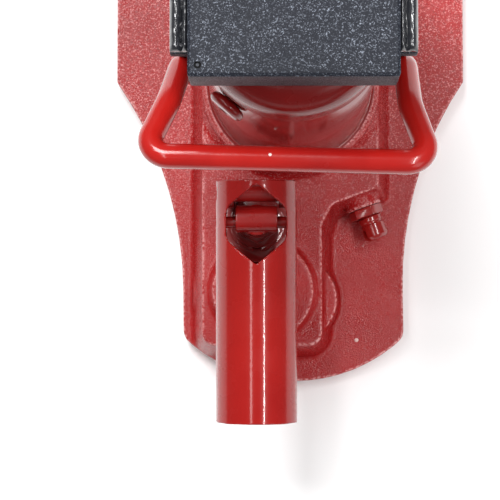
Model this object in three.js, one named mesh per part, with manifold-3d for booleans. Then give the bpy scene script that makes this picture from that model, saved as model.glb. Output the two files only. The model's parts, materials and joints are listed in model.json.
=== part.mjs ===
// Hydraulic toe jack with a swivelling lever socket.
// Millimetres, +Z up, +Y towards the toe, +X to the right seen from above.
// The origin is on the floor, on the axis of the lifting cylinder.
import * as THREE from "three";
import { mergeVertices } from "three/addons/utils/BufferGeometryUtils.js";
import Module from "manifold-3d";

const wasm = await Module();
wasm.setup();

// ---- driving dimensions -------------------------------------------------------------------
const GAP = 0.3; // between pieces that touch

const FLANGE = {
  top: 15, wide: 110.7, waist: 69.9, waistFrom: -126, wideFrom: 6, front: 130,
  tailRadius: 101.7, tailCentre: -83.3, slotHalf: 63.7, slotFrom: 59, chamfer: 12,
  drift: 0.0133,
};
const PAD = {
  top: 45, half: 55, front: 57.5, rear: -163, narrow: 19.4, corner: 8, draft: 7,
  obliqueOuter: [55, -64], obliqueInner: [26, -75], stepEnd: -87,
};
const RING = { outer: 56, inner: 50.6, foot: 60, top: 58 };
const VALVE_BOSS = { x: -17.3, y: -129, foot: 47, top: 31, height: 52 };
const SIDE_BOSS = { x: 3, y: -134, foot: 28.5, top: 26, height: 37 };
const ARM_RIB = { inner: 64.7, outer: 73, from: 50, to: 116, rise: 14 };

const TANK = { outer: 50, inner: 46, bottom: 47.3, top: 284 };
const CAP = { radius: 51, shoulder: 302, top: 322, crown: 35, seat: 305.3 };
const CYLINDER = { outer: 31, bore: 25.5, top: 305 };
const RAM = { radius: 22, spigot: 12, spigotTop: 66, bottom: 47.5 };

const HEAD = { half: 52.5, rear: -38.3, front: 80, bottom: 332, top: 368, bevel: 1.6 };
const SIDE = { inner: 52.8, outer: 61.5, top: 358 };
const FRONT = { rear: 60, front: 80, bottom: 25.3 };
const TOE = { half: 38, tip: 137, bottom: 3, top: 25, tipThickness: 15 };
const SADDLE = { half: 30, bottom: 64, top: 92, bore: 51.7 };
const HANDLE = {
  rod: 6.6, legBottom: 224, leg: [60.1, -17, 256], kink: [63.5, -41, 283], bar: [75.4, -72.6, 300],
  legBend: 16, kinkBend: 24, barBend: 10, lean: -3.7, tilt: 2,
};

const PUMP = { x: -20.7, y: -89, stub: 12, hex: 21, neck: 15, neckTop: 76, bore: 6.8 };
const COLLAR = { outer: 23, bottom: 54.3, top: 70, earInner: 13.5, earOuter: 18.5 };
const PIVOT = { z: 110, fulcrum: 15, arm: 17, fulcrumPin: 5, plungerPin: 3.75 };
const SOCKET = { outer: 24.3, inner: 20.8, front: 23, rear: 121.5, droop: 4 };
const PLUNGER = { radius: 6.5, bottom: 29, barrel: 12.5, barrelRadius: 7.8, neck: 9.4, neckHalf: 6.5 };
const VALVE = { x: 45.5, y: -73.3, z: 30, heading: 20, reach: 24 };
const RELIEF = { y: 20, seat: -59.3 };
const SPRING = { x: 44.5, y: 48.5, outer: 6, wire: 2, bottom: 62.3, top: 318 };
const FILLER = { z: 262, azimuth: -131.1, radius: 10.8, head: 6.6, crown: 2.8 };
const GALLERY = { z: 30, radius: 3.5, from: -172, to: -8 };

const CIRCLE = 40; // segments of a large round
const SMALL = 20; // segments of a small round

// ---- colours ------------------------------------------------------------------------------
const paint = (color) => new THREE.MeshStandardMaterial({ color, roughness: 0.38, metalness: 0 });
const metal = (color, roughness) =>
  new THREE.MeshStandardMaterial({ color, roughness, metalness: 1 });
const MATERIALS = {
  red: paint(0xa3161a),
  darkRed: paint(0x7d1014),
  black: new THREE.MeshStandardMaterial({ color: 0x2a2c30, roughness: 0.62, metalness: 0.1 }),
  steel: metal(0x9a9a9c, 0.35),
  chrome: metal(0xd0d2d4, 0.15),
  bronze: metal(0x9c7a3c, 0.4),
  rubber: new THREE.MeshStandardMaterial({ color: 0x1b1b1b, roughness: 0.85, metalness: 0 }),
};

// ---- solids -------------------------------------------------------------------------------
// A closed three.js geometry as a solid, turned right side out if its profile ran backwards.
function solid(geometry) {
  const bare = geometry.clone();
  bare.deleteAttribute("normal");
  bare.deleteAttribute("uv");
  const merged = mergeVertices(bare, 1e-4);
  const triVerts = new Uint32Array(merged.index.array);
  const build = () =>
    new wasm.Manifold(
      new wasm.Mesh({ numProp: 3, vertProperties: merged.attributes.position.array, triVerts }),
    );
  const made = build();
  if (made.volume() > 0) return made;
  for (let i = 0; i < triVerts.length; i += 3)
    [triVerts[i + 1], triVerts[i + 2]] = [triVerts[i + 2], triVerts[i + 1]];
  return build();
}

function geometryOf(shape) {
  const mesh = shape.getMesh();
  const flat = new THREE.BufferGeometry();
  flat.setAttribute("position", new THREE.BufferAttribute(mesh.vertProperties, 3));
  flat.setIndex(new THREE.BufferAttribute(mesh.triVerts, 1));
  return flat.toNonIndexed();
}

const join = (first, ...rest) => rest.reduce((sum, next) => sum.add(next), first);
const cut = (first, ...rest) => rest.reduce((left, next) => left.subtract(next), first);

const block = (x0, x1, y0, y1, z0, z1) =>
  solid(
    new THREE.BoxGeometry(x1 - x0, y1 - y0, z1 - z0).translate(
      (x0 + x1) / 2, (y0 + y1) / 2, (z0 + z1) / 2,
    ),
  );

// A round bar or cone standing on z0 at (x, y).
const bar = (radius, z0, z1, x = 0, y = 0, sides = SMALL, topRadius = radius) =>
  solid(
    new THREE.CylinderGeometry(topRadius, radius, z1 - z0, sides)
      .rotateX(Math.PI / 2)
      .translate(x, y, (z0 + z1) / 2),
  );

// A round bar along X from x0 to x1.
const crossBar = (radius, x0, x1, y, z, sides = SMALL) =>
  solid(
    new THREE.CylinderGeometry(radius, radius, x1 - x0, sides)
      .rotateZ(Math.PI / 2)
      .translate((x0 + x1) / 2, y, z),
  );

// A closed profile of [radius, height] turned about Z.
const turned = (profile, sides = CIRCLE) =>
  solid(
    new THREE.LatheGeometry(
      [...profile, profile[0]].map(([r, z]) => new THREE.Vector2(r, z)), sides,
    ).rotateX(Math.PI / 2),
  );

const ring = (outer, inner, z0, z1, sides = SMALL) =>
  turned([[inner, z0], [outer, z0], [outer, z1], [inner, z1]], sides);

// An outline in plan, pulled up from z0 to z1.
const prism = (outline, z0, z1) =>
  solid(
    new THREE.ExtrudeGeometry(new THREE.Shape(outline), { depth: z1 - z0, bevelEnabled: false })
      .translate(0, 0, z0),
  );

// A side outline of (y, z) points, pulled across from x0 to x1.
const sidePlate = (outline, x0, x1) =>
  solid(
    new THREE.ExtrudeGeometry(new THREE.Shape(outline), { depth: x1 - x0, bevelEnabled: false })
      .applyMatrix4(new THREE.Matrix4().set(0, 0, 1, x0, 1, 0, 0, 0, 0, 1, 0, 0, 0, 0, 0, 1)),
  );

// A drafted block: the same outline, wide at z0 and narrow at z1.
function drafted(wide, narrow, z0, z1) {
  const count = wide.length;
  const corners = [
    ...wide.map((p) => [p.x, p.y, z0]),
    ...narrow.map((p) => [p.x, p.y, z1]),
  ];
  const faces = [];
  for (const [a, b, c] of THREE.ShapeUtils.triangulateShape(wide, [])) faces.push([c, b, a]);
  for (const [a, b, c] of THREE.ShapeUtils.triangulateShape(narrow, []))
    faces.push([a + count, b + count, c + count]);
  for (let i = 0; i < count; i++) {
    const j = (i + 1) % count;
    faces.push([i, j, j + count], [i, j + count, i + count]);
  }
  const geometry = new THREE.BufferGeometry();
  geometry.setAttribute("position", new THREE.Float32BufferAttribute(corners.flat(), 3));
  geometry.setIndex(faces.flat());
  return solid(geometry);
}

// Corners given as [x, y, radius], rounded where the radius is not zero.
function rounded(corners, steps = 5) {
  const points = [];
  corners.forEach(([x, y, radius = 0], i) => {
    const corner = new THREE.Vector2(x, y);
    if (!radius) {
      points.push(corner);
      return;
    }
    const [px, py] = corners[(i + corners.length - 1) % corners.length];
    const [nx, ny] = corners[(i + 1) % corners.length];
    const back = new THREE.Vector2(px - x, py - y).normalize();
    const ahead = new THREE.Vector2(nx - x, ny - y).normalize();
    const half = Math.acos(THREE.MathUtils.clamp(back.dot(ahead), -1, 1)) / 2;
    const reach = radius / Math.tan(half);
    const start = corner.clone().addScaledVector(back, reach);
    const end = corner.clone().addScaledVector(ahead, reach);
    const centre = corner
      .clone()
      .addScaledVector(back.clone().add(ahead).normalize(), radius / Math.sin(half));
    const from = start.clone().sub(centre).angle();
    let sweep = end.clone().sub(centre).angle() - from;
    if (sweep > Math.PI) sweep -= 2 * Math.PI;
    if (sweep < -Math.PI) sweep += 2 * Math.PI;
    for (let k = 0; k <= steps; k++) {
      const angle = from + (sweep * k) / steps;
      points.push(
        new THREE.Vector2(
          centre.x + radius * Math.cos(angle), centre.y + radius * Math.sin(angle),
        ),
      );
    }
  });
  return points;
}

const hexOutline = (acrossFlats, x = 0, y = 0) =>
  Array.from({ length: 6 }, (_, i) => {
    const angle = ((i + 0.5) * Math.PI) / 3;
    const radius = acrossFlats / 2 / Math.cos(Math.PI / 6);
    return new THREE.Vector2(x + radius * Math.cos(angle), y + radius * Math.sin(angle));
  });

// Points of an arc of the given circle, both ends included.
function arc(cx, cy, radius, from, to, steps) {
  return Array.from({ length: steps + 1 }, (_, i) => {
    const angle = from + ((to - from) * i) / steps;
    return [cx + radius * Math.cos(angle), cy + radius * Math.sin(angle)];
  });
}

const jack = new THREE.Group();

function add(name, shape, material, parent = jack) {
  const mesh = new THREE.Mesh(geometryOf(shape), MATERIALS[material]);
  mesh.geometry.computeVertexNormals();
  mesh.name = name;
  parent.add(mesh);
}

const SIDES = [["left", -1], ["right", 1]];

// ---- base casting -------------------------------------------------------------------------
// Broad flange: a round tail, waisted flanks and two front arms with the toe's slot between.
function flangeOutline() {
  const { wide, waist, waistFrom, wideFrom, front, tailRadius, tailCentre } = FLANGE;
  const rise = wideFrom - waistFrom;
  const spread = wide - waist;
  const flankRadius = (rise ** 2 + spread ** 2) / (2 * spread);
  const flankSweep = Math.asin(rise / flankRadius);
  const tailAngle = Math.acos(waist / tailRadius);
  const tail = arc(0, tailCentre, tailRadius, -Math.PI / 2, -tailAngle, 8).slice(0, -1);
  const tailCorner = [waist, tailCentre - tailRadius * Math.sin(tailAngle), 9];
  const flank = arc(
    waist + flankRadius, waistFrom, flankRadius, Math.PI, Math.PI - flankSweep, 9,
  );
  const arm = [
    [wide, front - FLANGE.chamfer, 6],
    [wide - FLANGE.chamfer, front, 6],
    [FLANGE.slotHalf + FLANGE.chamfer, front, 6],
    [FLANGE.slotHalf, front - FLANGE.chamfer, 4],
    [FLANGE.slotHalf, FLANGE.slotFrom, 3],
  ];
  const right = [...tail, tailCorner, ...flank, ...arm];
  const left = right.slice(1).reverse().map(([x, y, r]) => [-x, y, r]);
  const drifted = [...right, ...left].map(([x, y, r]) => [x - FLANGE.drift * Math.min(y, 0), y, r]);
  return rounded(drifted, 4);
}

function padOutline(grow) {
  const { half, front, rear, narrow, corner, obliqueOuter, obliqueInner, stepEnd } = PAD;
  return rounded([
    [half + grow, front],
    [-half - grow, front],
    [-half - grow, rear - grow, corner + grow],
    [narrow + grow, rear - grow, corner + grow],
    [narrow + grow, stepEnd - grow, 10],
    [obliqueInner[0] + grow * 0.6, obliqueInner[1] - grow, 6],
    [obliqueOuter[0] + grow, obliqueOuter[1] - grow, 4],
  ]);
}

// The release valve's own frame: Z runs out of the casting along the valve's axis.
function valveFrame() {
  const heading = THREE.MathUtils.degToRad(VALVE.heading);
  const out = new THREE.Vector3(Math.sin(heading), -Math.cos(heading), 0);
  const frame = new THREE.Group();
  frame.position.set(VALVE.x, VALVE.y, VALVE.z);
  frame.quaternion.setFromUnitVectors(new THREE.Vector3(0, 0, 1), out);
  frame.updateMatrixWorld(true);
  return frame;
}

function inFrame(shape, frame) {
  return solid(geometryOf(shape).applyMatrix4(frame.matrixWorld));
}

// A radial round facing out of the tank wall at the filler's azimuth.
function onTank(shape) {
  const azimuth = THREE.MathUtils.degToRad(FILLER.azimuth);
  const out = new THREE.Vector3(Math.cos(azimuth), Math.sin(azimuth), 0);
  const frame = new THREE.Group();
  frame.quaternion.setFromUnitVectors(new THREE.Vector3(0, 0, 1), out);
  frame.position.copy(out).multiplyScalar(TANK.outer).setZ(FILLER.z);
  frame.updateMatrixWorld(true);
  return inFrame(shape, frame);
}

function baseCasting(frame) {
  const flange = prism(flangeOutline(), 0, FLANGE.top);
  const pad = drafted(padOutline(PAD.draft), padOutline(0), FLANGE.top - 1, PAD.top);
  const seat = turned([
    [RING.inner, PAD.top - 1], [RING.foot, PAD.top - 1], [RING.outer, PAD.top + 6],
    [RING.outer, RING.top - 4], [RING.outer - 1.2, RING.top - 1.2], [RING.outer - 3, RING.top],
    [RING.inner, RING.top],
  ]).intersect(block(-PAD.half, PAD.half, -RING.foot, PAD.front, 0, RING.top + 1));
  const boss = bar(
    VALVE_BOSS.foot, FLANGE.top - 1, VALVE_BOSS.height, VALVE_BOSS.x, VALVE_BOSS.y, CIRCLE,
    VALVE_BOSS.top,
  ).intersect(block(-62, 60, -176, -60, 0, 90));
  const sideBoss = bar(
    SIDE_BOSS.foot, FLANGE.top - 1, SIDE_BOSS.height, SIDE_BOSS.x, SIDE_BOSS.y, SMALL * 2,
    SIDE_BOSS.top,
  );
  const ribs = SIDES.map(([, s]) => {
    const ends = [ARM_RIB.inner * s, ARM_RIB.outer * s].sort((a, b) => a - b);
    return sidePlate(
      [[ARM_RIB.from, 12], [ARM_RIB.to, 12], [ARM_RIB.to, 18],
        [ARM_RIB.from + 12, FLANGE.top + ARM_RIB.rise], [ARM_RIB.from, FLANGE.top + ARM_RIB.rise]]
        .map(([y, z]) => new THREE.Vector2(y, z)),
      ...ends,
    );
  });
  const valveBoss = inFrame(bar(11.5, -14, 3.2), frame);
  const body = join(flange, pad, seat, boss, sideBoss, valveBoss, ...ribs);

  const pumpHole = join(
    bar(PUMP.stub + GAP, 20, PAD.top + 1, PUMP.x, PUMP.y),
    bar(24, PAD.top, VALVE_BOSS.height + 1, PUMP.x, PUMP.y, CIRCLE),
  );
  const valveHole = join(
    bar(7.3, 24, VALVE_BOSS.height + 1, VALVE_BOSS.x, VALVE_BOSS.y),
    bar(10.3, VALVE_BOSS.height - 5, VALVE_BOSS.height + 1, VALVE_BOSS.x, VALVE_BOSS.y),
  );
  const gallery = solid(
    new THREE.CylinderGeometry(
      GALLERY.radius, GALLERY.radius, GALLERY.to - GALLERY.from, 16,
    ).translate(VALVE_BOSS.x, (GALLERY.to + GALLERY.from) / 2, GALLERY.z),
  );
  const galleryMouth = solid(
    new THREE.CylinderGeometry(6.3, 6.3, 14, SMALL)
      .translate(VALVE_BOSS.x, PAD.rear - PAD.draft + 5, GALLERY.z),
  );
  const port = bar(GALLERY.radius, GALLERY.z, PAD.top + 1, VALVE_BOSS.x, GALLERY.to, 16);
  const releaseHole = inFrame(join(bar(6.3, -27, 6), bar(3, -36, -20, 0, 0, 16)), frame);
  const reliefHole = join(
    crossBar(5.3, -PAD.half - 13, -PAD.half + 13, RELIEF.y, GALLERY.z),
    crossBar(10.5, -80, RELIEF.seat, RELIEF.y, GALLERY.z),
  );
  return cut(body, pumpHole, valveHole, gallery, galleryMouth, port, releaseHole, reliefHole);
}

function baseBody(frame) {
  add("base_casting", baseCasting(frame), "red");

  const relief = join(
    crossBar(5, RELIEF.seat - 1, -PAD.half + 9, RELIEF.y, GALLERY.z),
    sidePlate(hexOutline(15, RELIEF.y, GALLERY.z), RELIEF.seat - 6, RELIEF.seat - GAP),
  );
  add("relief_valve_plug", relief, "steel");

  const y = PAD.rear - PAD.draft;
  const plug = solid(
    new THREE.CylinderGeometry(6, 6, 9, SMALL).translate(VALVE_BOSS.x, y + 6.5, GALLERY.z),
  );
  const key = solid(new THREE.CylinderGeometry(2.9, 2.9, 8, 6).translate(VALVE_BOSS.x, y, GALLERY.z));
  add("gallery_plug", cut(plug, key), "steel");

  const bossTop = VALVE_BOSS.height;
  const valvePlug = join(
    bar(10, bossTop - 4.7, bossTop - 1, VALVE_BOSS.x, VALVE_BOSS.y),
    bar(7, bossTop - 9, bossTop - 4.7, VALVE_BOSS.x, VALVE_BOSS.y),
    prism(hexOutline(17, VALVE_BOSS.x, VALVE_BOSS.y), bossTop - 1, bossTop + 5),
  );
  add("check_valve_plug", valvePlug, "steel");
  const ball = (radius, x, y2, z) =>
    solid(new THREE.SphereGeometry(radius, 12, 8).translate(x, y2, z));
  add("check_valve_ball", ball(5, VALVE_BOSS.x, VALVE_BOSS.y, 24 + 5 + GAP), "chrome");
  add("check_valve_spring", cut(
    bar(3.6, 34.8, bossTop - 9 - GAP, VALVE_BOSS.x, VALVE_BOSS.y, 12),
    bar(2.4, 34, bossTop, VALVE_BOSS.x, VALVE_BOSS.y, 12),
  ), "steel");
}

// ---- lifting cylinder ---------------------------------------------------------------------
function capProfile() {
  const steps = 6;
  const dome = arc(0, 0, 1, 0, Math.PI / 2, steps).map(([c, s]) => [
    CAP.crown + (CAP.radius - CAP.crown) * c,
    CAP.shoulder + (CAP.top - CAP.shoulder) * s,
  ]);
  return [
    [TANK.inner - 2, TANK.top + GAP], [CAP.radius, TANK.top + GAP], ...dome,
    [CYLINDER.bore, CAP.top], [CYLINDER.bore, CAP.seat], [CYLINDER.outer + GAP, CAP.seat],
    [CYLINDER.outer + GAP, CAP.seat - 13], [TANK.inner - 2, CAP.seat - 13],
  ];
}

function cylinderBody() {
  add("tank_gasket", ring(TANK.outer, TANK.inner, PAD.top + GAP, TANK.bottom - GAP, CIRCLE), "rubber");
  const fillerHole = onTank(bar(4.3, -10, 8));
  const tank = ring(TANK.outer, TANK.inner, TANK.bottom, TANK.top, CIRCLE);
  add("tank_tube", cut(tank, fillerHole), "red");
  add("tank_cap", turned(capProfile()), "darkRed");
  const { radius, head, crown } = FILLER;
  const plug = join(bar(4, -5, 1), bar(radius - crown / 2, GAP, crown, 0, 0, SMALL, radius),
    bar(radius, crown, head - crown), bar(radius, head - crown, head, 0, 0, SMALL, radius - crown));
  add("oil_filler_plug", onTank(plug), "darkRed");
  add("cylinder_tube", ring(CYLINDER.outer, CYLINDER.bore, PAD.top + GAP, CYLINDER.top), "steel");
  const inside = CYLINDER.bore - GAP;
  const wiper = CAP.top - 4.2;
  const guide = ring(inside, RAM.radius + GAP, CYLINDER.top - 4, wiper - GAP);
  add("ram_guide", guide, "bronze");
  add("ram_wiper", turned([
    [RAM.radius + GAP, wiper], [inside, wiper], [inside, wiper + 5.2],
    [RAM.radius + 1.4, wiper + 6.6], [RAM.radius + GAP, wiper + 6.6],
  ], SMALL), "rubber");
}

// ---- moving frame -------------------------------------------------------------------------
function sideOutline() {
  const { top } = SIDE;
  return rounded([
    [HEAD.front, TOE.bottom + 6, 4], [HEAD.front, top, 0], [-25.8, top, 3], [-25.8, 348, 5],
    [-10, 322, 8], [-10, 212, 10], [30, 176, 12], [30, 64, 6], [59.7, 50, 4],
    [59.7, TOE.bottom + 6, 2],
  ], 3);
}

function bevelledHead() {
  const { half, rear, front, bottom, top, bevel } = HEAD;
  const outline = (inset) =>
    rounded([
      [half - inset, rear + inset, 1.5], [half - inset, front - inset, 1.5],
      [-half + inset, front - inset, 1.5], [-half + inset, rear + inset, 1.5],
    ], 2);
  return join(
    prism(outline(0), bottom, top - bevel),
    drafted(outline(0), outline(bevel), top - bevel - 0.01, top),
  );
}

function weldBead(s) {
  const inner = HEAD.half + GAP;
  const section = [[inner, SIDE.top + GAP], [SIDE.outer, SIDE.top + GAP],
    [SIDE.outer - 0.6, SIDE.top + 2.4], [SIDE.outer - 3.2, SIDE.top + 4.6],
    [inner + 1.4, SIDE.top + 7], [inner, SIDE.top + 7]];
  const shape = new THREE.Shape(section.map(([x, z]) => new THREE.Vector2(s * x, z)));
  const length = HEAD.front - 4 + 25;
  return solid(
    new THREE.ExtrudeGeometry(shape, { depth: length, bevelEnabled: false })
      .rotateX(Math.PI / 2)
      .translate(0, HEAD.front - 4, 0),
  );
}

function toeBlock() {
  const { half, tip, bottom, top, tipThickness } = TOE;
  const side = [[FRONT.rear, bottom], [tip - 8, bottom], [tip, bottom + 5],
    [tip, bottom + tipThickness], [tip - 3, top], [FRONT.rear, top]]
    .map(([y, z]) => new THREE.Vector2(y, z));
  const plan = prism(rounded([
    [half + 13.4, FRONT.rear], [half + 13.4, FRONT.front], [half, FRONT.front + 9, 5],
    [half, tip + 1, 9], [-half, tip + 1, 9], [-half, FRONT.front + 9, 5],
    [-half - 13.4, FRONT.front], [-half - 13.4, FRONT.rear],
  ], 4), 0, 40);
  const grooves = [0, 1, 2, 3, 4].map((i) => {
    const y = tip - 12 - 8 * i;
    return block(-half - 1, half + 1, y - 1, y + 1, top - 1, top + 1);
  });
  return cut(sidePlate(side, -half - 14, half + 14).intersect(plan), ...grooves);
}

// A route through the corners [x, y, z, bend], each turned with a bend of about that radius.
function bentRoute(corners) {
  const points = corners.map(([x, y, z]) => new THREE.Vector3(x, y, z));
  const route = new THREE.CurvePath();
  let last = points[0];
  for (let i = 1; i < corners.length - 1; i++) {
    const back = points[i - 1].clone().sub(points[i]).normalize();
    const ahead = points[i + 1].clone().sub(points[i]).normalize();
    const reach = corners[i][3] / Math.tan(back.angleTo(ahead) / 2);
    const start = points[i].clone().addScaledVector(back, reach);
    const end = points[i].clone().addScaledVector(ahead, reach);
    route.add(new THREE.LineCurve3(last, start));
    route.add(new THREE.QuadraticBezierCurve3(start, points[i], end));
    last = end;
  }
  route.add(new THREE.LineCurve3(last, points.at(-1)));
  return route;
}

function handleRod() {
  const { rod, legBottom, leg, kink, bar: corner, legBend, kinkBend, barBend, lean, tilt } = HANDLE;
  const share = [0, 0, 0.6, 1];
  const side = (s) =>
    [[leg[0], leg[1], legBottom, 0], [...leg, legBend], [...kink, kinkBend], [...corner, barBend]]
      .map(([x, y, z, bend], i) => [s * x + lean * share[i], y - s * tilt * share[i], z, bend]);
  const route = bentRoute([...side(-1), ...side(1).reverse()]);
  const section = new THREE.Shape(
    arc(0, 0, rod, 0, 2 * Math.PI, 10).slice(0, -1).map((p) => new THREE.Vector2(...p)),
  );
  return solid(
    new THREE.ExtrudeGeometry(section, { steps: 96, extrudePath: route, bevelEnabled: false }),
  );
}

function frameBody() {
  add("head_plate", bevelledHead(), "black");
  for (const [side, s] of SIDES) {
    const [x0, x1] = [SIDE.inner * s, SIDE.outer * s].sort((a, b) => a - b);
    add(`side_plate_${side}`, sidePlate(sideOutline(), x0, x1), "black");
    add(`head_weld_${side}`, weldBead(s), "black");
    const hook = join(
      bar(3, SPRING.top + GAP, HEAD.bottom - GAP, s * SPRING.x, SPRING.y),
      bar(5.5, HEAD.bottom - 6, HEAD.bottom - GAP, s * SPRING.x, SPRING.y),
    );
    add(`upper_spring_anchor_${side}`, hook, "steel");
  }
  const front = prism(rounded([
    [HEAD.half, FRONT.rear], [HEAD.half, FRONT.front, 2],
    [-HEAD.half, FRONT.front, 2], [-HEAD.half, FRONT.rear],
  ], 2), FRONT.bottom, HEAD.bottom - GAP);
  add("front_plate", front, "black");
  add("toe", toeBlock(), "black");
  const saddle = cut(
    block(-SADDLE.half, SADDLE.half, 42, FRONT.rear - GAP, SADDLE.bottom, SADDLE.top),
    bar(SADDLE.bore, 0, 200, 0, 0, CIRCLE),
  );
  add("guide_saddle", saddle, "bronze");
  add("carry_handle", handleRod(), "red");

  const ram = join(
    bar(RAM.radius, RAM.spigotTop, HEAD.bottom - GAP),
    bar(RAM.spigot, RAM.bottom, RAM.spigotTop),
  );
  add("ram", ram, "chrome");
  add("piston", ring(CYLINDER.bore - GAP, RAM.spigot + GAP, 59.3, RAM.spigotTop - GAP), "steel");
  add("piston_seal", turned([
    [RAM.spigot + GAP, 52.6], [21, 52.6], [22.6, 56], [23.4, 52.6], [25.2, 52.6],
    [25.2, 59], [RAM.spigot + GAP, 59],
  ], SMALL), "rubber");
  const nut = cut(prism(hexOutline(34), 46.3, 52.3), bar(RAM.spigot + GAP, 40, 60));
  add("piston_nut", nut, "steel");
}

function springs() {
  for (const [side, s] of SIDES) {
    const coil = cut(
      bar(SPRING.outer, SPRING.bottom, SPRING.top, s * SPRING.x, SPRING.y, 16),
      bar(SPRING.outer - SPRING.wire, 40, 340, s * SPRING.x, SPRING.y, 16),
    );
    add(`return_spring_${side}`, coil, "steel");
    const anchor = join(
      bar(5.5, PAD.top + GAP, 51, s * SPRING.x, SPRING.y),
      bar(3, PAD.top + GAP, SPRING.bottom - GAP, s * SPRING.x, SPRING.y),
    );
    add(`lower_spring_anchor_${side}`, anchor, "steel");
  }
}

// ---- pump and swivelling lever socket -----------------------------------------------------
// Everything here is placed in the pump's own frame, on the swivel axis.
function pumpCylinder() {
  const { stub, neck, neckTop, bore, hex } = PUMP;
  const body = join(
    bar(stub, 20.3, 46),
    prism(hexOutline(hex * 2 - 3), PAD.top + GAP, COLLAR.bottom - GAP),
    bar(neck, 50, neckTop),
  );
  const groove = ring(neck + 1, neck - 1.3, 71.2, 73.6);
  const sealSeat = bar(9.5, 67, neckTop + 1);
  return cut(body, bar(bore, 26, neckTop + 1), bar(3, 10, 40, 0, 0, 16), groove, sealSeat);
}

function swivelCollar() {
  const { outer, bottom, top, earInner, earOuter } = COLLAR;
  const { fulcrum, z, fulcrumPin } = PIVOT;
  const body = join(bar(outer, bottom, top, 0, 0, CIRCLE),
    prism(rounded([[-earOuter, 0], [earOuter, 0], [earOuter, 24, 4], [-earOuter, 24, 4]]), bottom, top));
  const ear = [
    [fulcrum - 3.4, 62], [24, 62],
    ...arc(fulcrum, z, 8.5, 0, Math.PI, 10),
    [9, 80], [fulcrum - 3.4, 76],
  ].map(([y, h]) => new THREE.Vector2(y, h));
  const ears = SIDES.map(([, s]) =>
    sidePlate(ear, ...[s * earInner, s * earOuter].sort((a, b) => a - b)),
  );
  return cut(
    join(body, ...ears),
    bar(PUMP.neck + GAP, 40, top + GAP),
    bar(17.2, top, 75),
    crossBar(fulcrumPin + 0.05, -30, 30, fulcrum, z),
  );
}

// The socket pipe, on its own axis: +Y towards its front end, its pins on the axis.
function socketPipe() {
  const { outer, inner, front, rear } = SOCKET;
  const tube = (radius, sides) =>
    solid(
      new THREE.CylinderGeometry(radius, radius, front + rear, sides)
        .translate(0, (front - rear) / 2, 0),
    );
  const bore = solid(
    new THREE.CylinderGeometry(inner, inner, front + rear + 4, CIRCLE)
      .translate(0, (front - rear) / 2, 0),
  );
  const window = rounded([
    [0, -27, 1], [17.8, -12.5, 9], [17.8, 6.5, 9], [0, 21, 1], [-17.8, 6.5, 9], [-17.8, -12.5, 9],
  ], 6);
  const slot = rounded([[-19, front + 5], [-19, -29, 12], [19, -29, 12], [19, front + 5]]);
  const pinHole = (y, radius) => crossBar(radius, -30, 30, y, 0);
  return cut(
    tube(outer, CIRCLE), bore, prism(window, 0, 40), prism(slot, -40, 0),
    pinHole(PIVOT.fulcrum, PIVOT.fulcrumPin + GAP),
    pinHole(PIVOT.fulcrum - PIVOT.arm, PIVOT.plungerPin + 0.05),
  );
}

// The plunger's top is a cross barrel with a slot, in which the pin can shift a little.
function plungerRod() {
  const { radius, bottom, barrel, barrelRadius, neck, neckHalf } = PLUNGER;
  const { z, arm, plungerPin } = PIVOT;
  const droop = THREE.MathUtils.degToRad(SOCKET.droop);
  const pinZ = z - arm * Math.sin(droop);
  const shift = (arm * (1 - Math.cos(THREE.MathUtils.degToRad(44 - SOCKET.droop)))) / 2;
  const slotLength = shift + plungerPin + GAP;
  const slotHeight = plungerPin + 0.65;
  const boxed = (length, height, corner) =>
    rounded([[-length, pinZ - height, corner], [length, pinZ - height, corner],
      [length, pinZ + height, corner], [-length, pinZ + height, corner]]);
  const neckPiece = bar(neck, 86, pinZ + 2, 0, -0.6).intersect(
    block(-neckHalf, neckHalf, -20, 20, 80, pinZ + 9),
  );
  return cut(
    join(
      bar(radius, bottom, 87), neckPiece,
      sidePlate(boxed(barrelRadius + 0.2, barrelRadius, barrelRadius - 0.6), -barrel, barrel),
    ),
    sidePlate(boxed(slotLength, slotHeight, plungerPin), -20, 20),
  );
}

function pumpBody() {
  const pump = new THREE.Group();
  pump.position.set(PUMP.x, PUMP.y, 0);
  jack.add(pump);
  add("pump_cylinder", pumpCylinder(), "steel", pump);
  add("pump_seal", ring(9.2, PUMP.bore, 67.3, 75.7), "rubber", pump);
  add("pump_gland_nut", cut(prism(hexOutline(22), 76.3, 81), bar(PUMP.bore, 70, 90)), "steel", pump);
  const clip = cut(
    ring(17, PUMP.neck - 1, 71.5, 73.3),
    block(-2.5, 2.5, -20, -5, 60, 80),
  );
  add("swivel_circlip", clip, "steel", pump);
  add("swivel_collar", swivelCollar(), "darkRed", pump);
  const fulcrumPin = crossBar(PIVOT.fulcrumPin - 0.25, -23.4, 23.4, PIVOT.fulcrum, PIVOT.z);
  add("fulcrum_pin", fulcrumPin, "steel", pump);
  add("pump_plunger", plungerRod(), "chrome", pump);

  const socket = new THREE.Group();
  const tilt = THREE.MathUtils.degToRad(SOCKET.droop);
  socket.rotation.x = tilt;
  const lead = PIVOT.fulcrum;
  socket.position.set(0, lead - lead * Math.cos(tilt), PIVOT.z - lead * Math.sin(tilt));
  pump.add(socket);
  add("lever_socket", socketPipe(), "red", socket);
  const plungerPin = crossBar(
    PIVOT.plungerPin - 0.25, -23.4, 23.4, PIVOT.fulcrum - PIVOT.arm, 0,
  );
  add("plunger_pin", plungerPin, "darkRed", socket);
}

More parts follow.
